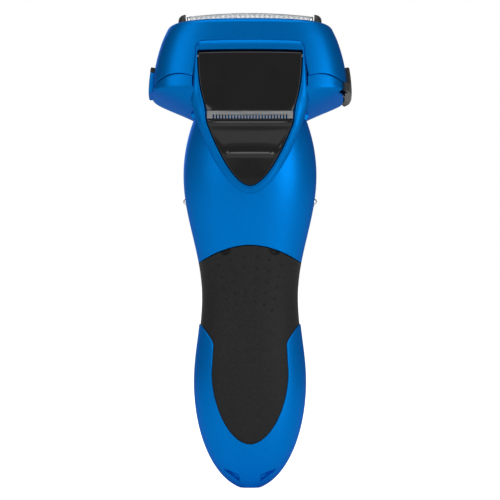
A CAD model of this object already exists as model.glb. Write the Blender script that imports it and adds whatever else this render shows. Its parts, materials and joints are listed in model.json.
import json
import math

import bmesh
import bpy
import numpy as np
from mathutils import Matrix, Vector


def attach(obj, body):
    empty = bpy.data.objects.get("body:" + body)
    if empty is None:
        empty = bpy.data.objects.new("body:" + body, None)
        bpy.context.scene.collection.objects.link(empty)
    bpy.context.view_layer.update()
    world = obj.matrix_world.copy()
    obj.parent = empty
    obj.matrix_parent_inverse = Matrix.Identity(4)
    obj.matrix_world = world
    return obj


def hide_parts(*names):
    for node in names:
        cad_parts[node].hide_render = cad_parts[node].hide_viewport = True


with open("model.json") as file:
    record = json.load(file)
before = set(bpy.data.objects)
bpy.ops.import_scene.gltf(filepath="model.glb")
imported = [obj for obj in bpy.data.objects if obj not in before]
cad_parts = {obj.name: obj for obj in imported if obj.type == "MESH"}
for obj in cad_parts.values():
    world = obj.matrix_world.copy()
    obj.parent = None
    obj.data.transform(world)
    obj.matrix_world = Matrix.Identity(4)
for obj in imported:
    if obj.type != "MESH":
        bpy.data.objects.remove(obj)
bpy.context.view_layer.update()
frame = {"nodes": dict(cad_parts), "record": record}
print("frame loaded:", len(frame["nodes"]), "nodes")

# All shapes are worked out in millimetres, X right, +Y the back, +Z up, and become metres in makePiece.
handle = {
    "bellyHeight": 36.5, "waistHeight": 66.0, "shoulderHeight": 108.5, "neckHeight": 128.0,
    "half": (19.15, 16.7, 23.15, 19.5), "back": (13.5, 11.5, 16.0, 16.5), "front": (15.0, 14.8, 17.0, 15.0),
    "tipHalf": 2.14, "tipDepth": 5.0, "squareness": 2.35, "wall": 1.8, "coverProud": 0.4,
}
head = {
    "tilt": math.radians(12.0), "wingHeight": 7.8, "half": 33.9, "depth": 16.5, "top": 32.7, "topHalf": 28.0,
    "topDepth": 16.0, "topRound": 1.5, "squareness": 4.0, "cornerSoft": 0.5,
}
backward = np.array([0.4, 1, 0])  # scales a place into a direction that points mostly to the back
level = np.array([1, 1, 0])  # scales a place into a direction straight out from the middle line
mirror = np.array([-1, 1, 1])
rollSteps = 1 - np.cos(np.radians((0, 18, 36, 54, 72, 90)))  # where a rounded lip needs its rows


def eased(low, high, share):
    return low + (high - low) * (1 - np.cos(np.pi * share)) / 2


def smoothStep(value):
    value = np.clip(value, 0, 1)
    return value * value * (3 - 2 * value)


def powered(value, power):
    return np.sign(value) * np.abs(value) ** power


def alongHandle(z, sizes):
    # cosine steps from belly to waist and waist to shoulder, then a parabola to the neck
    belly, waist, shoulder, neck = sizes
    waistHeight, shoulderHeight = handle["waistHeight"], handle["shoulderHeight"]
    low = eased(belly, waist, (z - handle["bellyHeight"]) / (waistHeight - handle["bellyHeight"]))
    middle = eased(waist, shoulder, (z - waistHeight) / (shoulderHeight - waistHeight))
    rise = (z - shoulderHeight) / (handle["neckHeight"] - shoulderHeight)
    top = shoulder + (neck - shoulder) * rise ** 2
    return np.where(z < waistHeight, low, np.where(z < shoulderHeight, middle, top))


def handleSizes(z, grow=0.0):
    # below the belly every size follows a quarter ellipse down to the tip
    z = np.asarray(z, float)
    lowest = math.asin(handle["tipHalf"] / handle["half"][0])
    nose = handle["bellyHeight"] / math.cos(lowest) + grow
    turn = np.arccos(np.clip((handle["bellyHeight"] - z) / nose, 0, 1))
    share = np.clip((np.sin(turn) - math.sin(lowest)) / (1 - math.sin(lowest)), 0, 1)
    tip = z < handle["bellyHeight"]
    half = np.where(tip, (handle["half"][0] + grow) * np.sin(turn), alongHandle(z, handle["half"]) + grow)
    sides = []
    for name in ("back", "front"):
        low = handle["tipDepth"] + (handle[name][0] - handle["tipDepth"]) * share
        sides.append(np.where(tip, low, alongHandle(z, handle[name])) + grow)
    return half, sides[0], sides[1]


def handlePoint(turn, z, grow=0.0):
    # superellipse section: x follows the cosine and y the sine of turn, each to the power 2 over squareness
    half, back, front = handleSizes(z, grow)
    power = 2 / handle["squareness"]
    deep = powered(np.sin(turn), power)
    return np.stack([half * powered(np.cos(turn), power), np.where(deep > 0, back, front) * deep,
                     z + 0 * turn], axis=-1)


def headSizes(z, grow=0.0):
    # straight sloping wings, then sides that lean in by a square law; the two meet with a small round
    slope = (head["half"] - handle["half"][3]) / head["wingHeight"]
    wing = handle["half"][3] + slope * z + grow * math.hypot(1, slope)
    lean = np.clip((z - head["wingHeight"]) / (head["top"] - head["wingHeight"]), 0, None)
    side = head["half"] - (head["half"] - head["topHalf"]) * lean ** 2 + grow
    soft = head["cornerSoft"]
    half = -soft * np.log(np.exp(-np.clip(wing - side, -40, 40) / soft) + 1) + side
    rise = smoothStep(z / head["wingHeight"])
    back = handle["back"][3] + (head["depth"] - handle["back"][3]) * rise
    front = handle["front"][3] + (head["depth"] - handle["front"][3]) * rise
    leanDepth = (head["topDepth"] - head["depth"]) * lean ** 2
    squareness = handle["squareness"] + (head["squareness"] - handle["squareness"]) * rise
    return half, back + leanDepth + grow, front + leanDepth + grow, squareness


def headPoint(turn, z, grow=0.0):
    half, back, front, squareness = headSizes(z, grow)
    deep = powered(np.sin(turn), 2 / squareness)
    return np.stack([half * powered(np.cos(turn), 2 / squareness), np.where(deep > 0, back, front) * deep,
                     z + 0 * turn], axis=-1)


def tilted(points):
    # head coordinates to the handle's: turned about the X line through the neck
    c, n = math.cos(head["tilt"]), math.sin(head["tilt"])
    x, y, z = points[..., 0], points[..., 1], points[..., 2]
    return np.stack([x, y * c - z * n, handle["neckHeight"] + y * n + z * c], axis=-1)


saddle = {"start": 108.0, "span": 21.0, "widening": 7.9, "squarer": 0.65}
headFace = {"half": 27.0, "widening": 6.0, "squareness": 3.0}
faceReach = 0.98  # share of the half width where a back surface stops falling away


def backDepth(x, back, wide, square):
    # depth of a superellipse at x
    return back * (1 - np.clip(np.abs(x) / wide, 0, faceReach) ** square) ** (1 / square)


def saddleBack(x, z):
    # back surface under the trimmer slider and its rim: the handle's back, growing wider towards the neck
    half, back, _ = handleSizes(z)
    share = smoothStep((z - saddle["start"]) / saddle["span"])
    square = handle["squareness"] + saddle["squarer"] * share
    return backDepth(x, back, half + share * saddle["widening"], square)


def headBack(x, z):
    # back surface of the head under the trimmer arm and its rim
    half, back, _, square = headSizes(z)
    rise = smoothStep(z / head["wingHeight"])
    wide = np.maximum(half, headFace["half"] + headFace["widening"] * rise)
    return backDepth(x, back, wide, np.maximum(square, headFace["squareness"] + rise))


edges = {
    "gripTop": 84.1, "gripTopDrop": 5.6, "gripReach": 17.0, "frontGripTop": 70.0, "panelBottom": 15.3,
    "panelMiddle": 40.0, "panelHalf": 13.4, "neckHalf": 12.8, "neckHeight": 50.6, "tipHalf": 16.6,
    "tipHeight": 55.8, "frontDip": 48.0, "gap": 0.12, "neckGap": 0.2,
    "panelSquareness": 1.85, "seamTurn": 0.006, "rearPower": 1.9,
}
sliderLine = {"bottom": 104.8, "top": 127.6, "half": 15.3, "power": 0.56, "rim": 3.0, "reach": 140.0}
armLine = {"half": 17.9, "taper": 3.1, "low": -0.9, "top": 20.45, "power": 2.5}
rimLine = {"half": 20.0, "taper": 1.5, "top": 24.1, "corner": 2.5}


def rearEdge(x):
    return edges["gripTop"] - edges["gripTopDrop"] * (np.abs(x) / edges["gripReach"]) ** edges["rearPower"]


def frontEdge(x):
    side = edges["gripTop"] - edges["gripTopDrop"]
    return edges["frontGripTop"] + (side - edges["frontGripTop"]) * (x / edges["gripReach"]) ** 2


def dipEdge(x):
    return edges["frontDip"] + (edges["tipHeight"] - edges["frontDip"]) * (x / edges["tipHalf"]) ** 2


def sliderEdge(grow, top, count=60):
    # half width goes with a power of the height; grow moves the line outwards along its normal
    span = sliderLine["top"] - sliderLine["bottom"]
    share = (top - sliderLine["bottom"]) / span * np.linspace(0, 1, count) ** 2
    power = sliderLine["power"]
    lean = sliderLine["half"] * power * np.maximum(share, 1e-9) ** (power - 1) / span
    size = np.hypot(1, lean)
    x = sliderLine["half"] * share ** power + grow / size
    z = sliderLine["bottom"] + share * span - grow * lean / size
    x[0], z[0] = 0, sliderLine["bottom"] - grow
    return x, z


def sliderHalf(z, grow=0.0):
    x, level = sliderEdge(grow, sliderLine["reach"])
    return np.interp(z, level, x, left=-1.0)


def armHalf(z):
    share = np.clip((armLine["top"] - z) / (armLine["top"] - armLine["low"]), 0, None)
    return armLine["half"] - armLine["taper"] * share ** armLine["power"]


def settled(edge, turn, grow=0.0, start=70.0):
    # height where a column of the handle meets an edge that is a function of x
    z = np.full(turn.shape, start)
    for _ in range(40):
        z = edge(handlePoint(turn, z, grow)[..., 0])
    return z


def spread(count, length, first=0.0, last=0.0):
    # shares from 0 to 1, with extra rows inside the rolled lips at either end
    low = first * rollSteps / length if first else np.array([0.0])
    high = 1 - last * rollSteps[::-1] / length if last else np.array([1.0])
    return np.concatenate([low[:-1], np.linspace(low[-1], high[0], count), high[1:]])


def unit(vectors):
    size = np.linalg.norm(vectors, axis=-1, keepdims=True)
    return vectors / np.maximum(size, 1e-12)


def gridNormals(points, closed):
    # cross product of the two directions of the grid; rows that shrink to a point borrow their neighbour's
    if closed:
        along = np.roll(points, -1, 0) - np.roll(points, 1, 0)
    else:
        along = np.gradient(points, axis=0)
    across = np.gradient(points, axis=1)
    for edge, inside in ((0, 1), (-1, -2)):
        flat = np.linalg.norm(along[:, edge], axis=-1) < 1e-5
        along[flat, edge] = along[flat, inside]
    return unit(np.cross(along, across))


def edgeDistance(points, axis, first, last, closed):
    # arc length from each end of the grid lines along axis, where that end is rolled
    steps = np.linalg.norm(np.diff(points, axis=axis), axis=-1)
    run = np.concatenate([np.zeros_like(np.take(steps, [0], axis)), np.cumsum(steps, axis)], axis)
    far = np.full(run.shape, 1e3)
    near = run if first and not closed else far
    away = np.take(run, [-1], axis) - run if last and not closed else far
    return np.minimum(near, away)


def gridFaces(rows, columns, closed, start=0):
    index = start + np.arange(rows * columns).reshape(rows, columns)
    if closed:
        index = np.concatenate([index, index[:1]], 0)
    a, b, c, d = index[:-1, :-1], index[1:, :-1], index[1:, 1:], index[:-1, 1:]
    return np.stack([a, b, c, d], -1).reshape(-1, 4)


def circle(count):
    # evenly spaced turns round a circle, without the last that meets the first
    return np.linspace(0, 2 * np.pi, count + 1)[:-1]


def runLength(line):
    return np.concatenate([[0], np.cumsum(np.linalg.norm(np.diff(line, axis=0), axis=1))])


def softened(line, width):
    # moving average with bell-shaped weights, which uses up the points beyond either end
    kernel = np.hanning(width)[1:-1] / np.hanning(width)[1:-1].sum()
    return np.stack([np.convolve(line[:, side], kernel, "valid") for side in range(line.shape[1])], -1)


def shell(points, wall, roll=0.3, lips=(True, True, True, True), closed=False, base=None):
    # closed wall under a grid of points: the outer grid sinks along its normals in a quarter circle at each
    # rolled lip, the inner grid lies wall deeper, and strips join the two round the border.
    # base is the same grid without its small hollows, which the inner grid follows
    base = points if base is None else base
    outward = gridNormals(base, closed)
    centre = points.reshape(-1, 3).mean(0)
    if np.sum(outward * (points - centre)) < 0:
        outward = -outward
    far = np.minimum(edgeDistance(points, 0, lips[0], lips[1], closed),
                     edgeDistance(points, 1, lips[2], lips[3], False))
    inside = np.clip(roll - far, 0, roll)
    sunk = roll - np.sqrt(np.maximum(roll ** 2 - inside ** 2, 0))
    outer = points - outward * sunk[..., None]
    inner = base - outward * wall
    rows, columns = points.shape[:2]
    total = rows * columns
    index = np.arange(total).reshape(rows, columns)
    faces = [gridFaces(rows, columns, closed), gridFaces(rows, columns, closed, total)[:, ::-1]]
    if closed:
        rings = [(np.append(index[:, 0], 0), 1), (np.append(index[:, -1], columns - 1), -1)]
    else:
        loop = np.concatenate([index[:, 0], index[-1, 1:], index[-2::-1, -1], index[0, -2::-1]])
        rings = [(loop, 1)]
    for ring, way in rings:
        strip = np.stack([ring[:-1], ring[:-1] + total, ring[1:] + total, ring[1:]], -1)
        faces.append(strip[:, ::way])
    return np.concatenate([outer.reshape(-1, 3), inner.reshape(-1, 3)]), np.concatenate(faces)


def makeObject(name, points, faces, material, merge, clear=True, turnOut=False):
    # one object from points in metres: near points are merged, and faces without area cleared away
    mesh = bpy.data.meshes.new(name)
    mesh.from_pydata(points.tolist(), [], faces.tolist())
    work = bmesh.new()
    work.from_mesh(mesh)
    bmesh.ops.remove_doubles(work, verts=work.verts, dist=merge)
    if clear:
        bmesh.ops.dissolve_degenerate(work, edges=work.edges, dist=1e-8)
    if turnOut:
        bmesh.ops.recalc_face_normals(work, faces=work.faces)
    work.to_mesh(mesh)
    work.free()
    mesh.materials.append(material)
    piece = bpy.data.objects.new(name, mesh)
    bpy.context.scene.collection.objects.link(piece)
    return piece


def makePiece(name, parts, body, slot, stands):
    # joins shells given in millimetres into one object in metres, with faces outwards
    verts, faces, start = [], [], 0
    for points, quads in parts:
        a, b, c, d = (points[quads[:, corner]] for corner in range(4))
        size = np.einsum("ij,ij->i", a, np.cross(b, c)).sum() + np.einsum("ij,ij->i", a, np.cross(c, d)).sum()
        verts.append(points)
        faces.append((quads if size > 0 else quads[:, ::-1]) + start)
        start += len(points)
    piece = makeObject(name, np.concatenate(verts) * 0.001, np.concatenate(faces), paints[slot], 1e-6)
    piece.data.shade_smooth()
    piece.data.set_sharp_from_angle(angle=math.radians(40))
    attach(piece, body)
    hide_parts(*stands)
    return piece


def newMaterial(name, colour, rough, metal=0.0, **sockets):
    material = bpy.data.materials.new(name)
    material.use_nodes = True
    shader = material.node_tree.nodes["Principled BSDF"]
    shader.inputs["Base Color"].default_value = (*colour, 1)
    shader.inputs["Roughness"].default_value = rough
    shader.inputs["Metallic"].default_value = metal
    for socket, value in sockets.items():
        shader.inputs[socket.replace("_", " ")].default_value = value
    return material


def grain(material, scale, colours=None, rough=None, bump=0.0, stretch=(1, 1, 1), distance=0.0002):
    # noise on object coordinates that varies colour and roughness a little and stands a fine texture up
    tree = material.node_tree
    shader = tree.nodes["Principled BSDF"]
    place = tree.nodes.new("ShaderNodeTexCoord")
    turn = tree.nodes.new("ShaderNodeMapping")
    turn.inputs["Scale"].default_value = stretch
    noise = tree.nodes.new("ShaderNodeTexNoise")
    noise.inputs["Scale"].default_value = scale
    noise.inputs["Detail"].default_value = 3.0
    tree.links.new(place.outputs["Object"], turn.inputs["Vector"])
    tree.links.new(turn.outputs["Vector"], noise.inputs["Vector"])
    if colours:
        ramp = tree.nodes.new("ShaderNodeValToRGB")
        for stop, (where, colour) in zip(ramp.color_ramp.elements, ((0.3, colours[0]), (0.7, colours[1]))):
            stop.position = where
            stop.color = (*colour, 1)
        tree.links.new(noise.outputs["Fac"], ramp.inputs["Fac"])
        tree.links.new(ramp.outputs["Color"], shader.inputs["Base Color"])
    if rough:
        spanned = tree.nodes.new("ShaderNodeMapRange")
        spanned.inputs["To Min"].default_value, spanned.inputs["To Max"].default_value = rough
        tree.links.new(noise.outputs["Fac"], spanned.inputs["Value"])
        tree.links.new(spanned.outputs["Result"], shader.inputs["Roughness"])
    if bump:
        lift = tree.nodes.new("ShaderNodeBump")
        lift.inputs["Strength"].default_value = bump
        lift.inputs["Distance"].default_value = distance
        tree.links.new(noise.outputs["Fac"], lift.inputs["Height"])
        tree.links.new(lift.outputs["Normal"], shader.inputs["Normal"])
    return material


def bluePaint(name, colour, light):
    # fine metallic flakes under a satin finish, with blue edges where the light grazes
    paint = newMaterial(name, colour, 0.4, 0.82, Specular_IOR_Level=0.22, Specular_Tint=(0.0, 0.4, 0.85, 1))
    return grain(paint, 2600, (colour, light), (0.36, 0.46), 0.05, distance=0.00005)


paints = {
    "blue_cover": bluePaint("satinBlue", (0.0, 0.185, 0.62), (0.001, 0.215, 0.7)),
    "blue_head": bluePaint("satinBlueHead", (0.0, 0.15, 0.5), (0.001, 0.175, 0.56)),
    "grip_rubber": grain(
        newMaterial("gripRubber", (0.015, 0.015, 0.0155), 0.62, Specular_IOR_Level=0.2), 900,
        ((0.0125, 0.0125, 0.013), (0.0185, 0.0185, 0.019)), (0.52, 0.66), 0.18, distance=0.00015),
    "gloss_black": grain(
        newMaterial("glossBlack", (0.006, 0.0055, 0.0055), 0.1, Specular_IOR_Level=0.4, Coat_Weight=0.2,
                    Coat_Roughness=0.05), 160,
        ((0.005, 0.0045, 0.0045), (0.007, 0.0065, 0.0065)), (0.09, 0.12)),
    "blade_steel": grain(
        newMaterial("bladeSteel", (0.5, 0.51, 0.52), 0.32, 1.0), 300,
        ((0.42, 0.43, 0.44), (0.58, 0.59, 0.6)), (0.26, 0.4), 0.05, (1, 1, 12)),
    "lamp_lens": grain(
        newMaterial("lampLens", (0.6, 0.78, 0.66), 0.2, Transmission_Weight=0.3), 400, None, (0.15, 0.26)),
}
# name, colour, roughness and metal, then what grain takes: scale, two colours, two roughnesses and bump
plainPaints = {
    "black_plastic": (("mouldedBlack", (0.014, 0.014, 0.015), 0.38),
                      (700, ((0.011, 0.011, 0.012), (0.018, 0.018, 0.019)), (0.32, 0.46), 0.1)),
    "chrome_trim": (("chromeTrim", (0.82, 0.83, 0.85), 0.08, 1.0), (300, None, (0.05, 0.12))),
    "foil_steel": (("foilSteel", (0.6, 0.64, 0.67), 0.28, 1.0),
                   (500, ((0.54, 0.58, 0.61), (0.66, 0.7, 0.73)), (0.22, 0.34))),
    "spring_steel": (("springSteel", (0.5, 0.5, 0.51), 0.3, 1.0), (400, None, (0.25, 0.4))),
    "pin_metal": (("contactGold", (0.8, 0.62, 0.3), 0.25, 1.0), (300, None, (0.2, 0.32))),
    "motor_steel": (("motorSteel", (0.55, 0.55, 0.56), 0.4, 1.0),
                    (240, ((0.48, 0.48, 0.49), (0.6, 0.6, 0.61)), (0.34, 0.5), 0.06)),
    "bronze_bush": (("bronzeBush", (0.5, 0.32, 0.14), 0.5, 1.0), (900, None, (0.42, 0.6), 0.1)),
    "frame_plastic": (("greyMoulding", (0.1, 0.105, 0.11), 0.5),
                      (600, ((0.09, 0.095, 0.1), (0.115, 0.12, 0.125)), (0.44, 0.58), 0.1)),
    "white_plastic": (("whiteAcetal", (0.78, 0.78, 0.75), 0.4),
                      (500, ((0.74, 0.74, 0.71), (0.8, 0.8, 0.78)), (0.34, 0.46), 0.05)),
    "seal_rubber": (("sealRubber", (0.1, 0.105, 0.11), 0.65), (700, None, (0.58, 0.72), 0.1)),
    "board_green": (("boardGreen", (0.02, 0.14, 0.06), 0.4),
                    (300, ((0.016, 0.12, 0.05), (0.024, 0.16, 0.07)), (0.34, 0.46))),
    "cell_wrap": (("cellWrap", (0.04, 0.2, 0.12), 0.3), (200, None, (0.24, 0.36))),
    "copper_wire": (("copperWire", (0.7, 0.3, 0.12), 0.3, 1.0), (1500, None, (0.24, 0.4), 0.2)),
}
for slot, (plain, finish) in plainPaints.items():
    paints[slot] = grain(newMaterial(*plain), *finish)
for row in frame["record"]["subparts"]:
    carried = frame["nodes"][row["node"]]
    carried.data.materials.clear()
    carried.data.materials.append(paints[row["material_slot"]])
print("materials made:", len(paints))


def neckCut(turn, gap):
    # height where a column of the handle meets the head's lower plane
    z = np.full(turn.shape, handle["neckHeight"])
    for _ in range(12):
        z = handle["neckHeight"] + math.tan(head["tilt"]) * handlePoint(turn, z)[..., 1] - gap
    return z


def column(low, high, shares):
    return low[:, None] + (high - low)[:, None] * shares[None, :]


def seamTurns(spacing, start=0.0):
    # turns over the back, or over the front with start at pi, that stop just short of the side seams
    return start + edges["seamTurn"] + (np.pi - 2 * edges["seamTurn"]) * spread(*spacing)


# around and up hold what spread takes: count, length and the lips at either end
rearCover = {"around": (240, 75, 0.15, 0.15), "up": (90, 35, 0.35, 0.15), "roll": 0.3, "underRim": 0.5,
             "levels": (100, 132, 1600)}


def makeRearCover():
    turn = seamTurns(rearCover["around"])
    low = settled(rearEdge, turn) + edges["gap"]
    high = neckCut(turn, edges["neckGap"])
    levels = np.linspace(*rearCover["levels"])
    reach = sliderHalf(levels, sliderLine["rim"] - rearCover["underRim"])
    blocked = np.abs(handlePoint(turn[:, None], levels[None, :])[..., 0]) < reach
    high = np.where(blocked.any(1), np.minimum(high, levels[blocked.argmax(1)]), high)
    shares = spread(*rearCover["up"])
    grid = handlePoint(turn[:, None] + 0 * shares, column(low, high, shares))
    return makePiece("rear_cover_shell", [shell(grid, handle["wall"], rearCover["roll"])],
                     "handle", "blue_cover", ["rear_cover"])


frontCover = {"around": (180, 75, 0.15, 0.15), "up": (120, 55, 0.35, 0.2), "roll": 0.3}
switchSeat = {"height": 96.0, "half": 8.3, "reach": 16.3, "deep": 3.0, "edge": 1.05, "soft": 0.07}


def makeFrontCover():
    turn = seamTurns(frontCover["around"], np.pi)
    low = settled(frontEdge, turn) + edges["gap"]
    shares = spread(*frontCover["up"])
    grid = handlePoint(turn[:, None] + 0 * shares, column(low, neckCut(turn, edges["neckGap"]), shares))
    away = np.hypot(grid[..., 0] / switchSeat["half"],
                    (grid[..., 2] - switchSeat["height"]) / switchSeat["reach"])
    grid[..., 1] += switchSeat["deep"] * smoothStep((switchSeat["edge"] - away) / switchSeat["soft"])
    return makePiece("front_cover_shell", [shell(grid, handle["wall"], frontCover["roll"])],
                     "handle", "blue_cover", ["front_cover"])


def panelOutline(count):
    # right half of the back panel's edge, from the waist down to the bottom, as x and z
    neck = np.array([edges["neckHalf"], edges["neckHeight"]])
    tip = np.array([edges["tipHalf"], edges["tipHeight"]])
    middle = np.array([edges["panelHalf"], edges["panelMiddle"]])
    turn = np.linspace(0, np.pi / 2, 60)
    power = 2 / edges["panelSquareness"]
    bowl = np.stack([middle[0] * np.cos(turn) ** power,
                     middle[1] - (middle[1] - edges["panelBottom"]) * np.sin(turn) ** power], -1)
    corner = [neck + (tip - neck) * 0.2, neck + np.array([0.25, 0.1]), neck + (middle - neck) * 0.1]
    line = np.concatenate([[tip + (tip - neck) * 0.12, tip], corner, bowl])
    run = runLength(line)
    fine = np.linspace(0, run[-1], 400)
    smooth = np.stack([np.interp(fine, run, line[:, side]) for side in (0, 1)], -1)
    smooth = softened(np.concatenate([np.repeat(smooth[:1], 5, 0), smooth, np.repeat(smooth[-1:], 5, 0)]), 13)
    smooth[-1] = (0, edges["panelBottom"])
    where = np.linspace(0, run[-1], count)
    return np.stack([np.interp(where, fine, smooth[:, side]) for side in (0, 1)], -1)


def backTurn(x, z, grow=0.0):
    # turn whose section point has this x
    half = handleSizes(z, grow)[0]
    return np.arccos(np.clip(powered(x / half, handle["squareness"] / 2), -1, 1))


tipWedge = {"inner": 3.8, "outer": 8.8, "lowInner": 2.6, "lowOuter": 6.3, "topInner": 4.6, "topOuter": 6.6,
            "depth": 0.9, "soft": 0.3}


def wedgeDepth(points):
    # two hollows that taper outwards and upwards beside the tip
    x, z = np.abs(points[..., 0]), points[..., 2]
    share = np.clip((x - tipWedge["inner"]) / (tipWedge["outer"] - tipWedge["inner"]), 0, 1)
    low = tipWedge["lowInner"] + (tipWedge["lowOuter"] - tipWedge["lowInner"]) * share
    top = tipWedge["topInner"] + (tipWedge["topOuter"] - tipWedge["topInner"]) * share
    soft = tipWedge["soft"]
    across, upwards = (smoothStep((value - first) / soft + 0.5) * smoothStep((last - value) / soft + 0.5)
                       for value, first, last in ((x, tipWedge["inner"], tipWedge["outer"]), (z, low, top)))
    return tipWedge["depth"] * across * upwards


tipPips = {"places": ((-0.9, 3.4), (0.1, 2.6), (-0.9, 4.6), (-1.2, 2.4)), "radius": 0.34, "height": 0.16,
           "edge": 1.4}


def pipHeight(points):
    # tiny raised dots
    raised = np.zeros(points.shape[:-1])
    for x, z in tipPips["places"]:
        away = np.hypot(points[..., 0] - x, points[..., 2] - z) / tipPips["radius"]
        raised = np.maximum(raised, tipPips["height"] * smoothStep(tipPips["edge"] - away))
    return raised


# sides and bottom count the columns that end on the side seam, and those that end at the tip
lowerCover = {"sides": 84, "bottom": 116, "seam": (60, 56, 0.0, 0.35), "in": (64, 12, 0.35, 0.0),
              "overTip": 0.3, "front": (90, 55, 0.0, 0.35), "frontColumns": 140, "wall": 2.2, "roll": 0.35}


def makeLowerCover():
    grow = handle["coverProud"]
    sides, bottom = lowerCover["sides"], lowerCover["bottom"]
    seamTop = edges["tipHeight"] + lowerCover["overTip"]
    sideRows = spread(*lowerCover["seam"])[::-1]
    outline = panelOutline(sides + bottom)
    turns = backTurn(outline[:, 0], outline[:, 1], grow)
    heights = np.concatenate([np.interp(np.linspace(0, 1, sides), np.linspace(0, 1, len(sideRows)),
                                        sideRows) * seamTop, np.zeros(bottom)])
    around = np.concatenate([np.zeros(sides), np.linspace(0, np.pi / 2, bottom + 1)[1:]])
    shares = spread(*lowerCover["in"])
    turn = turns[:, None] + (around - turns)[:, None] * shares[None, :]
    z = outline[:, 1][:, None] + (heights - outline[:, 1])[:, None] * shares[None, :]
    right = handlePoint(turn, z, grow)
    hollow = unit(right * backward) * wedgeDepth(right)[..., None]
    smooth = np.concatenate([right, right[-2::-1] * mirror])
    back = smooth - np.concatenate([hollow, hollow[-2::-1] * mirror])
    back = back + unit(smooth * backward) * pipHeight(smooth)[..., None]
    turn = np.pi + np.pi * np.linspace(0, 1, lowerCover["frontColumns"])
    high = settled(dipEdge, turn, grow)
    high[[0, -1]] = seamTop
    shares = spread(*lowerCover["front"])
    front = handlePoint(turn[:, None] + 0 * shares, column(np.zeros(len(turn)), high, shares), grow)
    wall, roll = lowerCover["wall"], lowerCover["roll"]
    parts = [shell(back, wall, roll, (False, False, True, False), base=smooth),
             shell(front, wall, roll, (False, False, False, True))]
    return makePiece("lower_cover_shell", parts, "handle", "blue_cover", ["lower_cover"])


dimples = {"columns": (2.3, 7.0, 11.6), "drop": (0.0, 1.1, 3.0), "top": 80.2, "pitch": 3.9, "rows": 5,
           "narrowing": 0.018, "radius": 0.5, "depth": 0.4, "edge": 1.25}


def dimpleDepth(points):
    # a round hollow for each place of the pattern, which narrows a little downwards
    sunk = np.zeros(points.shape[:-1])
    for offset, drop in zip(dimples["columns"], dimples["drop"]):
        for number in range(dimples["rows"]):
            height = dimples["top"] - drop - dimples["pitch"] * number
            across = offset * (1 - dimples["narrowing"] * (dimples["top"] - height))
            for side in (-1, 1):
                away = np.hypot(points[..., 0] - side * across, points[..., 2] - height) / dimples["radius"]
                sunk = np.maximum(sunk, dimples["depth"] * smoothStep(dimples["edge"] - away))
    return sunk


grips = {"around": (170, 45, 0.1, 0.1), "roll": 0.2, "rearWall": 1.4, "frontUp": (130, 24, 0.0, 0.25),
         "frontUnder": 1.0, "frontDrop": 13.0}
# the rear pad's low edge runs hidden under the lower cover; coarse and fine rows meet at the share "split"
rearPad = {"low": 13.0, "rise": 37.0, "from": 0.62, "over": 0.3, "split": 0.62, "coarse": 50,
           "fine": (130, 27, 0.0, 0.25), "sunk": 0.7, "past": 0.3, "soft": 0.8}
gripNotch = {"across": 8.8, "height": 82.6, "radius": 1.75, "depth": 1.3, "edge": 1.1, "soft": 0.16}


def makeRearGrip():
    turn = seamTurns(grips["around"])
    high = settled(rearEdge, turn) - edges["gap"]
    wide = np.abs(np.cos(turn)) ** (2 / handle["squareness"])
    low = rearPad["low"] + rearPad["rise"] * smoothStep((wide - rearPad["from"]) / rearPad["over"])
    split = rearPad["split"]
    shares = np.concatenate([np.linspace(0, split, rearPad["coarse"])[:-1],
                             split + (1 - split) * spread(*rearPad["fine"])])
    grid = handlePoint(turn[:, None] + 0 * shares, column(low, high, shares))
    inward = unit(grid * level)
    outline = panelOutline(200)[::-1]
    edge = np.interp(grid[..., 2], outline[:, 1], outline[:, 0])
    past = np.abs(grid[..., 0]) - edge - rearPad["past"]
    under = rearPad["sunk"] * smoothStep(past / rearPad["soft"]) * (grid[..., 2] < edges["tipHeight"] - 1)
    grid = grid - inward * under[..., None]
    away = np.hypot(np.abs(grid[..., 0]) - gripNotch["across"], grid[..., 2] - gripNotch["height"])
    notch = smoothStep((gripNotch["edge"] - away / gripNotch["radius"]) / gripNotch["soft"])
    dented = grid - inward * (dimpleDepth(grid) + gripNotch["depth"] * notch)[..., None]
    pad = shell(dented, grips["rearWall"], grips["roll"], (True, True, False, True), base=grid)
    return makePiece("rear_grip_pad", [pad], "handle", "grip_rubber", ["rear_grip"])


def makeFrontGrip():
    turn = seamTurns(grips["around"], np.pi)
    high = settled(frontEdge, turn) - edges["gap"]
    low = settled(dipEdge, turn) - grips["frontUnder"]
    shares = spread(*grips["frontUp"])
    grid = handlePoint(turn[:, None] + 0 * shares, column(low, high, shares))
    lowered = grid + np.array([0, 0, grips["frontDrop"]])
    dented = grid - unit(grid * level) * dimpleDepth(lowered)[..., None]
    pad = shell(dented, handle["wall"], grips["roll"], (True, True, False, True), base=grid)
    return makePiece("front_grip_pad", [pad], "handle", "grip_rubber", ["front_grip"])


makeRearCover()
makeFrontCover()
makeLowerCover()
makeRearGrip()
makeFrontGrip()
print("handle covers made")


seam = {"peak": 12.4, "peakAt": 25.0, "outerDrop": 3.0, "outerSpan": 8.0, "outerMost": 9.0, "innerDrop": 1.0,
        "innerSpan": 5.0, "gap": 0.25}


def seamHeight(x):
    # an arch over each wing, highest at peakAt and falling by a square law to both sides
    x = np.abs(x)
    outer = np.clip(x - seam["peakAt"], 0, seam["outerMost"]) / seam["outerSpan"]
    inner = np.clip(seam["peakAt"] - x, 0, seam["innerSpan"]) / seam["innerSpan"]
    return seam["peak"] - seam["outerDrop"] * outer ** 2 - seam["innerDrop"] * inner ** 2


buttonPlace = {"bottom": 7.2, "step": 10.4, "top": 17.2, "footSpan": 11.0, "plateSpan": 5.5, "proud": 1.4,
               "deep": 2.9, "sharpness": 0.12, "inner": 20.0, "frameTop": 20.0}


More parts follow.
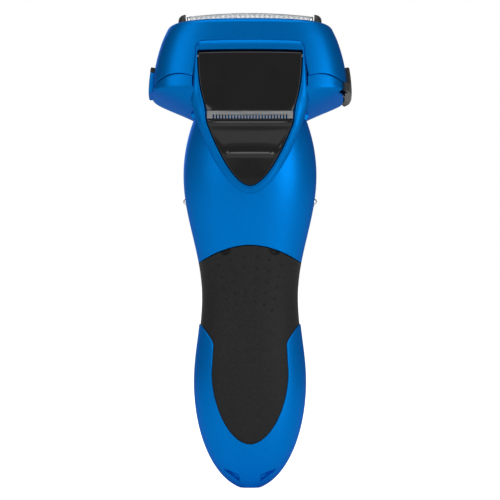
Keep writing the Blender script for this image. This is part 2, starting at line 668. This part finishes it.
def sideDent(points, side, grow):
    # how deep the pocket of the release button or the fixed lug is at each point
    y, z = np.abs(points[..., 1]), points[..., 2]

    def within(limit, value):
        return smoothStep((limit + grow - value) / buttonPlace["sharpness"])

    foot = within(buttonPlace["footSpan"], y) * within(buttonPlace["step"], z)
    plate = within(buttonPlace["plateSpan"], y) * within(buttonPlace["top"], z)
    inside = np.maximum(foot if side < 0 else 0, plate) * within(-buttonPlace["bottom"], -z)
    return buttonPlace["deep"] * inside * (points[..., 0] * side > buttonPlace["inner"])


def headTurns(first, last, marks):
    # turns from first to last, with close pairs where a pocket or notch begins
    base = np.linspace(first, last, 260)
    extra = [mark + step for mark in marks for step in (-0.004, -0.0015, 0.0015, 0.004)]
    turns = np.unique(np.concatenate([base, extra]))
    return turns[(turns >= first) & (turns <= last)]


def turnAtX(x, z, squareness=4.0):
    half = headSizes(np.array(float(z)))[0]
    return math.acos((x / half) ** (squareness / 2))


def turnAtY(y, z, squareness=4.0):
    depth = headSizes(np.array(float(z)))[1]
    return math.asin((y / depth) ** (squareness / 2))


def tiltedParts(parts):
    return [(tilted(points), faces) for points, faces in parts]


# bulge: how far the wings swell and where; path: how the back is sunk under the slider's way up
housing = {"up": (70, 12, 0.0, 0.4), "wall": 3.4, "roll": 0.35, "pocketGap": 0.3, "notchGap": 0.3,
           "bulge": 0.55, "bulgeFrom": 3.0, "bulgeOver": 6.0, "bulgeFade": 28.0, "pathSunk": 3.6,
           "pathHalf": 17.6}
ear = {"low": 8.2, "tall": 7.1, "up": (24, 7, 0.4, 0.4), "columns": 40, "wall": 2.6, "roll": 0.4}
closeRows = np.array([-0.1, 0, 0.1, 0.2])  # heights of the rows that draw a pocket's edge sharply


def makeHeadHousing():
    gap = housing["pocketGap"]
    notch = turnAtX(rimLine["half"] - housing["notchGap"], 8)
    marks = []
    for span in (buttonPlace["footSpan"], buttonPlace["plateSpan"]):
        angle = turnAtY(span + gap, 9)
        marks += [np.pi - angle, np.pi + angle, angle, 2 * np.pi - angle, 2 * np.pi + angle]
    turn = headTurns(np.pi - notch, 2 * np.pi + notch, marks)
    high = seamHeight(headPoint(turn, 11.5 + 0 * turn)[..., 0])
    pocketLow = (buttonPlace["bottom"] - gap + closeRows) / 11
    shares = np.unique(np.concatenate([spread(*housing["up"]), pocketLow]))
    grid = headPoint(turn[:, None] + 0 * shares, column(np.full(turn.shape, 0.0), high, shares))
    fade = 1 - 0.5 * smoothStep((np.abs(grid[..., 0]) - housing["bulgeFade"]) / housing["bulgeOver"])
    bulge = housing["bulge"] * smoothStep((grid[..., 2] - housing["bulgeFrom"]) / housing["bulgeOver"]) * fade
    grid = grid + unit(grid * backward) * bulge[..., None]
    path = smoothStep(housing["pathHalf"] - np.abs(grid[..., 0])) * (grid[..., 1] > 0)
    grid[..., 1] -= housing["pathSunk"] * path
    dented = grid + np.array([1.0, 0, 0]) * sideDent(grid, -1, gap)[..., None]
    earTurn = np.linspace(-1, 1, ear["columns"]) * turnAtY(buttonPlace["plateSpan"], 10)
    rows = ear["low"] + ear["tall"] * spread(*ear["up"])
    lug = headPoint(earTurn[:, None] + 0 * rows, rows[None, :] + 0 * earTurn[:, None], buttonPlace["proud"])
    parts = [shell(dented, housing["wall"], housing["roll"], (False, False, False, True), base=grid),
             shell(lug, ear["wall"], ear["roll"])]
    return makePiece("head_housing_shell", tiltedParts(parts), "handle", "blue_head", ["head_housing"])


def roundedFrame(turn, half, deep, corner):
    # rectangle with round corners: a very square superellipse plus a circle
    x = (half - corner) * powered(np.cos(turn), 0.1) + corner * np.cos(turn)
    y = (deep - corner) * powered(np.sin(turn), 0.1) + corner * np.sin(turn)
    return x, y


# half, deep and corner: the foil opening; bow: how far the top rises in the middle; wave: the lower rims
# along the back and front
frameSizes = {"half": 25.2, "deep": 11.4, "corner": 3.7, "land": 6, "bow": 0.75, "bowHalf": 26.0, "wave": 0.9,
              "up": (60, 19, 0.4, 0.0), "wall": 1.1, "roll": 0.35, "gap": 0.35, "notchGap": 0.8,
              "archGap": 0.15, "pocketRoom": 1.5}


def frameDents(points, measured, grow):
    # sinks the pockets at both sides in place
    for side in (-1, 1):
        below = measured[..., 2] < buttonPlace["frameTop"]
        points[..., 0] -= side * sideDent(measured, side, grow) * below


def frameBow(x):
    return frameSizes["bow"] * (1 - (x / frameSizes["bowHalf"]) ** 2)


def makeFoilFrame():
    openHalf = rimLine["half"] - frameSizes["notchGap"]
    notch = turnAtX(openHalf, 16)
    marks = [notch, np.pi - notch]
    angle = turnAtY(buttonPlace["plateSpan"] + frameSizes["gap"], 14)
    marks += [angle, np.pi - angle, np.pi + angle, 2 * np.pi - angle]
    turn = headTurns(0, 2 * np.pi, marks)[:-1]
    at = headPoint(turn, 18.0 + 0 * turn)
    low = seamHeight(at[..., 0]) + seam["gap"]
    corner = rimLine["corner"]
    inside = openHalf - np.abs(at[..., 0])
    arc = np.sqrt(np.maximum(corner ** 2 - np.clip(corner - inside, 0, corner) ** 2, 0))
    arch = rimLine["top"] + frameSizes["archGap"] - corner + arc
    low = np.where((at[..., 1] > 0) & (inside > 0), arch, low)
    # outer wall, rounded brow, flat land to the foil opening, then down inside it
    steps = np.radians(np.linspace(0, 90, 7))
    rise = head["top"] - head["topRound"]
    pocketTop = (buttonPlace["top"] + frameSizes["gap"] - 12 + closeRows) / (rise - 12)
    shares = np.unique(np.concatenate([spread(*frameSizes["up"]), pocketTop]))
    wallGrid = headPoint(turn[:, None] + 0 * shares, column(low, np.full(turn.shape, rise), shares))
    brow = []
    for step in steps[1:]:
        brow.append(headPoint(turn, rise + head["topRound"] * math.sin(step) + 0 * turn,
                              -head["topRound"] * (1 - math.cos(step))))
    ring = np.stack(brow, 1)
    ring[..., 2] += frameBow(ring[..., 0]) * np.linspace(0.3, 1, ring.shape[1])
    x, y = roundedFrame(turn, frameSizes["half"], frameSizes["deep"], frameSizes["corner"])
    edge = np.stack([x, y, head["top"] + frameBow(x)], -1)
    inwards = np.linspace(0, 1, frameSizes["land"])[None, 1:, None]
    land = ring[:, -1:] + (edge[:, None] - ring[:, -1:]) * inwards
    inner = edge[:, None] - np.array([0, 0, 1.0]) * np.array([0.15, 0.6, 2.0, 4.0])[None, :, None]
    grid = np.concatenate([wallGrid, ring, land, inner], 1)
    wave = smoothStep(np.abs(grid[..., 1]) / 11) * smoothStep((grid[..., 2] - 26) / 6)
    grid[..., 2] -= frameSizes["wave"] * wave
    dented = grid.copy()
    frameDents(dented, grid, frameSizes["gap"])
    points, faces = shell(dented, frameSizes["wall"], frameSizes["roll"], (False, False, True, False),
                          closed=True, base=grid)
    inner = points[len(points) // 2:]
    frameDents(inner, inner, frameSizes["pocketRoom"])
    return makePiece("foil_frame_shell", [(tilted(points), faces)], "foil_unit", "blue_head", ["foil_frame"])


def sidePlate(side, low, high, span, proud, deep, roll):
    # plate that follows the head's side between two heights
    angle = turnAtY(span, 9)
    centre = 0.0 if side > 0 else np.pi
    turn = centre + angle * (2 * spread(40, 2 * span, roll, roll) - 1)
    rows = low + (high - low) * spread(26, high - low, roll, roll)
    grid = headPoint(turn[:, None] + 0 * rows, rows[None, :] + 0 * turn[:, None], proud)
    return shell(grid, deep, roll)


# side, low and high edge, half span, how far it stands out, thickness and rolled edge
sideParts = {
    "foot": (-1, buttonPlace["bottom"], buttonPlace["step"], buttonPlace["footSpan"], 1.3, 2.1, 0.35),
    "plate": (-1, buttonPlace["bottom"] + 0.4, buttonPlace["top"], buttonPlace["plateSpan"], 1.5, 2.3, 0.45),
    "lug": (1, 15.5, 17.2, buttonPlace["plateSpan"], 1.5, 2.4, 0.4),
}


def makeSideParts():
    button = [sidePlate(*sideParts["foot"]), sidePlate(*sideParts["plate"])]
    makePiece("release_button_cap", tiltedParts(button), "button", "black_plastic", ["release_button"])
    makePiece("fixed_lug_cap", tiltedParts([sidePlate(*sideParts["lug"])]),
              "handle", "black_plastic", ["fixed_lug"])


foil = {"top": 36.2, "radius": 3.1, "pitch": 7.2, "half": 22.1, "bow": 175.0, "leg": 2.6, "cell": 0.62,
        "hole": 0.66, "thick": 0.1}


def foilPlace(along, across, line):
    # along runs the length of the foil; across is arc length over the arch, then down the straight legs
    quarter = foil["radius"] * np.pi / 2
    turn = np.clip(across, -quarter, quarter) / foil["radius"]
    drop = np.abs(across) - quarter
    y = line + foil["radius"] * np.sin(turn)
    z = foil["top"] - foil["radius"] * (1 - np.cos(turn)) - np.maximum(drop, 0)
    lean = along / foil["bow"]
    reach = foil["bow"] - (foil["top"] - z)
    return np.stack([reach * np.sin(lean), y, foil["top"] - foil["bow"] + reach * np.cos(lean)], -1)


def makeFoil(name, line):
    # honeycomb of cells, each a ring between a hexagon and the smaller hole in it, closed by plain borders
    cell = foil["cell"]
    rows = int(2 * (foil["radius"] * np.pi / 2 + 0.5) / (cell * math.sqrt(3) / 2))
    columns = int(2 * (foil["half"] - 0.8) / cell)
    i, j = np.meshgrid(np.arange(columns), np.arange(rows), indexing="ij")
    centreX = (i - (columns - 1) / 2 + 0.5 * (j % 2) - 0.25) * cell
    centreY = (j - (rows - 1) / 2) * cell * math.sqrt(3) / 2
    angle = np.radians(30 + 60 * np.arange(6))
    big = cell / math.sqrt(3)
    corner = np.stack([np.cos(angle), np.sin(angle)], -1)
    centres = np.stack([centreX.ravel(), centreY.ravel()], -1)
    outer = centres[:, None] + big * corner
    hole = centres[:, None] + big * foil["hole"] * corner
    flat = np.concatenate([outer, hole], 1).reshape(-1, 2)
    base = 12 * np.arange(len(centres))[:, None]
    k = np.arange(6)
    quads = np.stack([base + k, base + (k + 1) % 6, base + 6 + (k + 1) % 6, base + 6 + k], -1).reshape(-1, 4)
    wide = foil["radius"] * np.pi / 2 + foil["leg"]
    edgeY = (rows - 1) / 2 * cell * math.sqrt(3) / 2 + big * 0.5
    edgeX = (columns - 1) / 2 * cell + cell * 0.25
    borders = []
    total = len(flat)
    half, lap = foil["half"], edgeY + 0.01
    for left, right, low, high, columns, rows in (
            (-half, half, edgeY, wide, 60, 8), (-half, half, -wide, -edgeY, 60, 8),
            (-half, -edgeX, -lap, lap, 3, 24), (edgeX, half, -lap, lap, 3, 24)):
        x, y = np.meshgrid(np.linspace(left, right, columns), np.linspace(low, high, rows), indexing="ij")
        borders.append((np.stack([x, y], -1).reshape(-1, 2), gridFaces(columns, rows, False, total)))
        total += columns * rows
    flat = np.concatenate([flat] + [places for places, _ in borders])
    quads = np.concatenate([quads] + [faces for _, faces in borders])
    points = tilted(foilPlace(flat[:, 0], flat[:, 1], line))
    piece = makeObject(name, points * 0.001, quads, paints["foil_steel"], 2e-6, clear=False, turnOut=True)
    piece.data.shade_smooth()
    thick = piece.modifiers.new("sheet", "SOLIDIFY")
    thick.thickness = foil["thick"] * 0.001
    thick.offset = -1
    return piece


cassette = {"half": 24.9, "deep": 11.1, "corner": 3.5, "low": 25.6, "high": 32.3, "inside": 22.35,
            "bar": 0.35, "side": 0.5, "innerCorner": 1.5, "lip": 0.4, "bumpReach": 2.6, "bumpRadius": 2.55,
            "bumpHeight": 32.7, "bumpRise": 2.9}


def ringWall(outer, inner, low, high, lip):
    # closed band between two rounded rectangles, with softened top edges
    turn = circle(160)
    rows = []
    for sizes, z in ((outer, low), (outer, high - lip), ((outer[0] - lip, outer[1] - lip, outer[2]), high),
                     ((inner[0] + lip, inner[1] + lip, inner[2]), high), (inner, high - lip), (inner, low)):
        x, y = roundedFrame(turn, *sizes)
        rows.append(np.stack([x, y, z + 0 * x], -1))
    grid = np.stack(rows + rows[:1], 1)
    return grid.reshape(-1, 3), gridFaces(len(turn), len(rows) + 1, True)


def endBump(side, line):
    # half a dome lying on the slab: a superellipse seen from the side, rounded towards its end
    turn = circle(32)
    rise = np.linspace(0, np.pi / 2, 12)
    shrink = powered(np.cos(rise), 0.7)
    shrink[-1] = 0
    x = side * (cassette["inside"] + cassette["bumpReach"] * np.sin(rise)) + 0 * turn[:, None]
    y = line + cassette["bumpRadius"] * np.cos(turn)[:, None] * shrink
    z = cassette["bumpHeight"] + np.sin(turn)[:, None] * shrink * cassette["bumpRise"]
    grid = np.stack([x, y, z], -1)
    lid = grid[:, :1] * np.array([1, 0, 0]) + np.array([0, line, cassette["bumpHeight"]])
    grid = np.concatenate([lid, grid], 1)
    return grid.reshape(-1, 3), gridFaces(len(turn), grid.shape[1], True)


def makeCassette():
    outer = (cassette["half"], cassette["deep"], cassette["corner"])
    inner = (cassette["inside"], cassette["deep"] - cassette["side"], cassette["innerCorner"])
    parts = [ringWall(outer, inner, cassette["low"], cassette["high"], cassette["lip"])]
    for side in (-1, 1):
        middle = side * foil["pitch"] / 2
        x, z = np.meshgrid(np.linspace(-1, 1, 20) * (cassette["inside"] + 0.4),
                           np.linspace(cassette["low"], cassette["high"] - 1.2, 6), indexing="ij")
        parts.append(shell(np.stack([x, middle + cassette["bar"] / 2 + 0 * x, z], -1), cassette["bar"], 0.05))
        parts += [endBump(side, line) for line in (-foil["pitch"], 0, foil["pitch"])]
    return makePiece("foil_cassette_frame", tiltedParts(parts),
                     "foil_unit", "black_plastic", ["foil_cassette"])


def makeFoils():
    for name, side in (("front", -1), ("centre", 0), ("rear", 1)):
        piece = makeFoil(name + "_foil_mesh", side * foil["pitch"])
        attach(piece, name + "_foil_body")
        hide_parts(name + "_foil")


makeHeadHousing()
makeFoilFrame()
makeSideParts()
makeCassette()
makeFoils()
print("head made")


def rimRow(grow, lift):
    # one line of the rim from the V's bottom up the right side, over the neck and to the middle of the top.
    # grow moves it outwards from the black parts, lift stands it off the surface.
    x, z = sliderEdge(grow, 126.5, 50)
    low = np.stack([x, saddleBack(x, z) + lift, z], -1)
    share = (grow - 0.3) / (sliderLine["rim"] - 0.3)
    rise = np.linspace(1.5, 20, 30)
    outer = rimLine["half"] - rimLine["taper"] * (rise / rimLine["top"]) ** 2
    inner = armHalf(rise) + 0.35
    side = inner + (outer - inner) * share
    top = armLine["top"] + 0.35 + (rimLine["top"] - armLine["top"] - 0.35) * share
    corner = 0.5 + (rimLine["corner"] - 0.5) * share
    straight = rise < top - corner
    side, rise = side[straight], rise[straight]
    turn = np.linspace(0, np.pi / 2, 9)
    arcX = side[-1] - corner * (1 - np.cos(turn))
    arcZ = top - corner * (1 - np.sin(turn))
    across = np.linspace(arcX[-1], 0, 24)[1:]
    x = np.concatenate([side, arcX, across])
    z = np.concatenate([rise, arcZ, np.full(across.shape, top) + 0.25 * (1 - (across / 18) ** 2)])
    high = tilted(np.stack([x, headBack(x, z) + lift, z], -1))
    line = np.concatenate([low, high])
    run = runLength(line)
    # even spacing, then a light smoothing so that the neck is bridged
    where = np.linspace(0, 1, 260) * run[-1]
    line = np.stack([np.interp(where, run, line[:, k]) for k in range(3)], -1)
    soft = softened(np.concatenate([line[7:0:-1] * mirror, line, line[-2:-9:-1] * mirror]), 17)
    bridge = smoothStep(1 - np.abs(line[:, 2] - 129) / 9)[:, None]
    return line + (soft - line) * bridge


tray = {"wall": 1.0, "margin": 0.8, "low": 2.1, "floor": 12.3, "top": 21.5}


def trayLow():
    # floor of the slider's well: the back surface of the neck, sunk by the depth of the well
    z = np.linspace(sliderLine["bottom"] - 0.4, 129.2, 60)
    half = np.maximum(sliderHalf(z, tray["margin"]), 0.2)
    x = np.linspace(-1, 1, 50)[:, None] * half[None, :]
    z = z[None, :] + 0 * x
    return shell(np.stack([x, saddleBack(x, z) - tray["low"], z], -1), tray["wall"], 0.1)


def trayHigh():
    # flat floor behind the trimmer arm
    z = np.linspace(0.0, tray["top"], 12)
    x = np.linspace(-1, 1, 12)[:, None] * (armHalf(z) + tray["margin"])[None, :]
    z = z[None, :] + 0 * x
    points, faces = shell(np.stack([x, tray["floor"] + 0 * x, z], -1), tray["wall"], 0.1)
    return tilted(points), faces


# cross section from the well beside the black parts, over the lip and crest, down to the cover
rimProfile = ((0.3, -3.0), (0.3, -0.5), (0.3, 0.25), (0.42, 0.42), (0.62, 0.5), (1.0, 0.55), (1.5, 0.52),
              (2.0, 0.4), (2.5, 0.2), (2.9, -0.02), (3.1, -0.6), (3.1, -2.2))


def makeRim():
    lines = np.stack([rimRow(grow, lift) for grow, lift in rimProfile], 1)
    closed = np.concatenate([lines, lines[-2:0:-1] * mirror])
    rows, columns = closed.shape[:2]
    ring = np.concatenate([closed, closed[:, :1]], 1)
    faces = gridFaces(rows, columns + 1, True)
    parts = [(ring.reshape(-1, 3), faces), trayLow(), trayHigh()]
    return makePiece("trimmer_rim", parts, "handle", "blue_head", ["trimmer_bezel"])


slider = {"up": (80, 23, 0.0, 0.3), "crowding": 1.5, "across": (70, 24, 0.3, 0.3), "proud": 0.25, "wall": 1.5,
          "roll": 0.3, "topHalf": 14.85, "thumbAt": 115.6, "thumbWide": 0.55, "thumbHalf": 8.5, "thumbHigh": 0.55,
          "hollowLow": 116, "hollowTop": 124, "hollowDeep": 0.5, "ridgeAt": 126.3, "ridgeWide": 0.4,
          "ridgeHigh": 0.35}


def makeSlider():
    shares = spread(*slider["up"]) ** slider["crowding"]
    height = sliderLine["bottom"] + (sliderLine["top"] - sliderLine["bottom"]) * shares
    across = 2 * spread(*slider["across"]) - 1
    z = height[None, :] + 0 * across[:, None]
    half = np.minimum(sliderHalf(height), slider["topHalf"])
    half[0] = 0.0
    x = across[:, None] * half[None, :]
    y = saddleBack(x, z) + slider["proud"]
    thumb = np.exp(-((z - slider["thumbAt"]) / slider["thumbWide"]) ** 2)
    thumb = thumb * smoothStep((slider["thumbHalf"] - np.abs(x)) / 2) * slider["thumbHigh"]
    hollow = -slider["hollowDeep"] * smoothStep((z - slider["hollowLow"]) / 2)
    hollow = hollow * smoothStep((slider["hollowTop"] - z) / 5) * smoothStep((1 - np.abs(across[:, None])) * 6)
    ridge = np.exp(-((z - slider["ridgeAt"]) / slider["ridgeWide"]) ** 2)
    ridge = (ridge - smoothStep((z - slider["ridgeAt"] - 0.1) / slider["ridgeWide"])) * slider["ridgeHigh"]
    y = y + thumb + hollow + ridge
    grid = np.stack([x, y, z], -1)
    return makePiece("trimmer_slider_cap", [shell(grid, slider["wall"], slider["roll"])],
                     "slider", "gloss_black", ["trimmer_slider"])


def makeArm():
    shares = spread(60, 21, 0.25, 1.3)
    z = armLine["low"] + (armLine["top"] - armLine["low"]) * shares
    across = 2 * spread(60, 34, 0.3, 0.3) - 1
    z = z[None, :] + 0 * across[:, None]
    x = across[:, None] * armHalf(z)
    z = z + 0.25 * (1 - (x / 18) ** 2) * smoothStep((z - 10) / 10)
    y = headBack(x, z) + 0.15 - 0.25 * smoothStep((z - 2) / 4) * smoothStep((18 - z) / 8)
    grid = np.stack([x, y, z], -1)
    far = edgeDistance(grid, 1, False, True, False)
    grid[..., 1] -= 1.3 - np.sqrt(np.maximum(1.3 ** 2 - np.clip(1.3 - far, 0, 1.3) ** 2, 0))
    points, faces = shell(grid, 1.3, 0.25, (True, True, True, False))
    barrel = {"radius": 1.3, "depth": 14.75, "height": 18.8, "half": 17.6}
    turn = circle(32)
    ends = np.array([-1, -1, 1, 1]) * barrel["half"]
    size = np.array([0, 1, 1, 0]) * barrel["radius"]
    tube = np.stack([ends[None, :] + 0 * turn[:, None], barrel["depth"] + size * np.cos(turn)[:, None],
                     barrel["height"] + size * np.sin(turn)[:, None]], -1)
    tubeFaces = gridFaces(len(turn), 4, True)
    parts = [(tilted(points), faces), (tilted(tube.reshape(-1, 3)), tubeFaces)]
    return makePiece("trimmer_arm_cap", parts, "arm", "gloss_black", ["trimmer_arm"])


makeRim()
makeSlider()
makeArm()
print("trimmer made")


trim = {"dip": 76.0, "end": 99.3, "half": 0.9, "proud": 0.5, "stud": 1.15, "studSunk": 0.25, "power": 2.2}


def makeTrim():
    turn = np.pi + np.linspace(0.01, np.pi - 0.01, 200)
    reach = float(handleSizes(trim["end"])[0])
    rise = trim["end"] - trim["dip"]
    z = settled(lambda x: trim["dip"] + rise * (np.abs(x) / reach) ** trim["power"], turn, start=85.0)
    angle = circle(16)
    centre = handlePoint(turn, z)
    outward = unit(centre * np.array([1, 1, 0]))
    up = np.array([0, 0, 1.0])
    tube = (centre[None] + outward[None] * (trim["proud"] * np.cos(angle))[:, None, None]
            + up * (trim["half"] * np.sin(angle))[:, None, None])
    parts = [(tube.reshape(-1, 3), gridFaces(len(angle), len(turn), True))]
    for side in (-1, 1):
        around, rise = np.linspace(0, 2 * np.pi, 25)[:-1, None], np.linspace(-np.pi / 2, np.pi / 2, 15)
        at = np.array([side * (reach - trim["studSunk"]), 0, trim["end"]])
        flat = np.cos(rise)
        ball = np.stack([flat * np.cos(around), flat * np.sin(around), np.sin(rise) + 0 * around], -1)
        parts.append(((trim["stud"] * ball + at).reshape(-1, 3), gridFaces(24, 15, True)))
    return makePiece("chrome_trim_line", parts, "handle", "chrome_trim", ["chrome_trim"])


makeTrim()
print("trim made")


# floorGlow and sky: strength for what they light, and as the camera sees them
stage = {"reach": 9.0, "rings": 12, "spokes": 96, "floorGlow": (0.12, 0.95), "sky": (0.26, 1.0)}


def brightForEye(tree, socket, dim, bright):
    # the backdrop looks white, and lights the object more dimly
    rays = tree.nodes.new("ShaderNodeLightPath")
    seen = tree.nodes.new("ShaderNodeMapRange")
    seen.inputs["To Min"].default_value = dim
    seen.inputs["To Max"].default_value = bright
    tree.links.new(rays.outputs["Is Camera Ray"], seen.inputs["Value"])
    tree.links.new(seen.outputs["Result"], socket)


def makeStage():
    # round flat floor, rings of points about the middle
    turn = circle(stage["spokes"])
    radius = stage["reach"] * np.linspace(0, 1, stage["rings"] + 1) ** 2
    x, y = radius * np.cos(turn)[:, None], radius * np.sin(turn)[:, None]
    grid = np.stack([x, y, 0 * x], -1).reshape(-1, 3)
    pale = newMaterial("paleFloor", (0.9, 0.9, 0.9), 0.9, Emission_Color=(1, 1, 1, 1))
    glow = pale.node_tree.nodes["Principled BSDF"].inputs["Emission Strength"]
    brightForEye(pale.node_tree, glow, *stage["floorGlow"])
    makeObject("paleFloor", grid, gridFaces(len(turn), len(radius), True), pale, 1e-6, turnOut=True)


# name, place, width and height in metres, and power in watts
lights = (("softLeft", (0.55, 0.75, 0.55), (0.5, 0.7), 2.1),
          ("softRight", (-0.6, 0.7, 0.35), (0.45, 0.7), 2.75),
          ("softTop", (0, 0.1, 0.9), (0.7, 0.5), 2.3), ("frontFill", (0.3, -0.9, 0.4), (0.6, 0.6), 1.6))
lightAim = (0, 0, 0.09)


def makeLight(name, place, size, power):
    lamp = bpy.data.lights.new(name, "AREA")
    lamp.shape = "RECTANGLE"
    lamp.size, lamp.size_y = size
    lamp.energy = power
    light = bpy.data.objects.new(name, lamp)
    light.location = place
    way = Vector(lightAim) - light.location
    light.rotation_euler = way.to_track_quat("-Z", "Y").to_euler()
    bpy.context.scene.collection.objects.link(light)


view = {"distance": 1.6, "height": 0.0825, "wide": 0.174}
camera = bpy.data.cameras.new("mainCamera")
camera.sensor_width = 36.0
camera.lens = 36.0 * view["distance"] / view["wide"]
eye = bpy.data.objects.new("mainCamera", camera)
eye.location = (0, view["distance"], view["height"])
eye.rotation_euler = (math.pi / 2, 0, math.pi)
bpy.context.scene.collection.objects.link(eye)
bpy.context.scene.camera = eye
makeStage()
for name, place, size, power in lights:
    makeLight(name, place, size, power)
world = bpy.data.worlds.new("paleWorld")
world.use_nodes = True
world.node_tree.nodes["Background"].inputs["Color"].default_value = (1, 1, 1, 1)
brightForEye(world.node_tree, world.node_tree.nodes["Background"].inputs["Strength"], *stage["sky"])
bpy.context.scene.world = world
bpy.context.scene.view_settings.view_transform = "Standard"
print("stage, light and camera set")
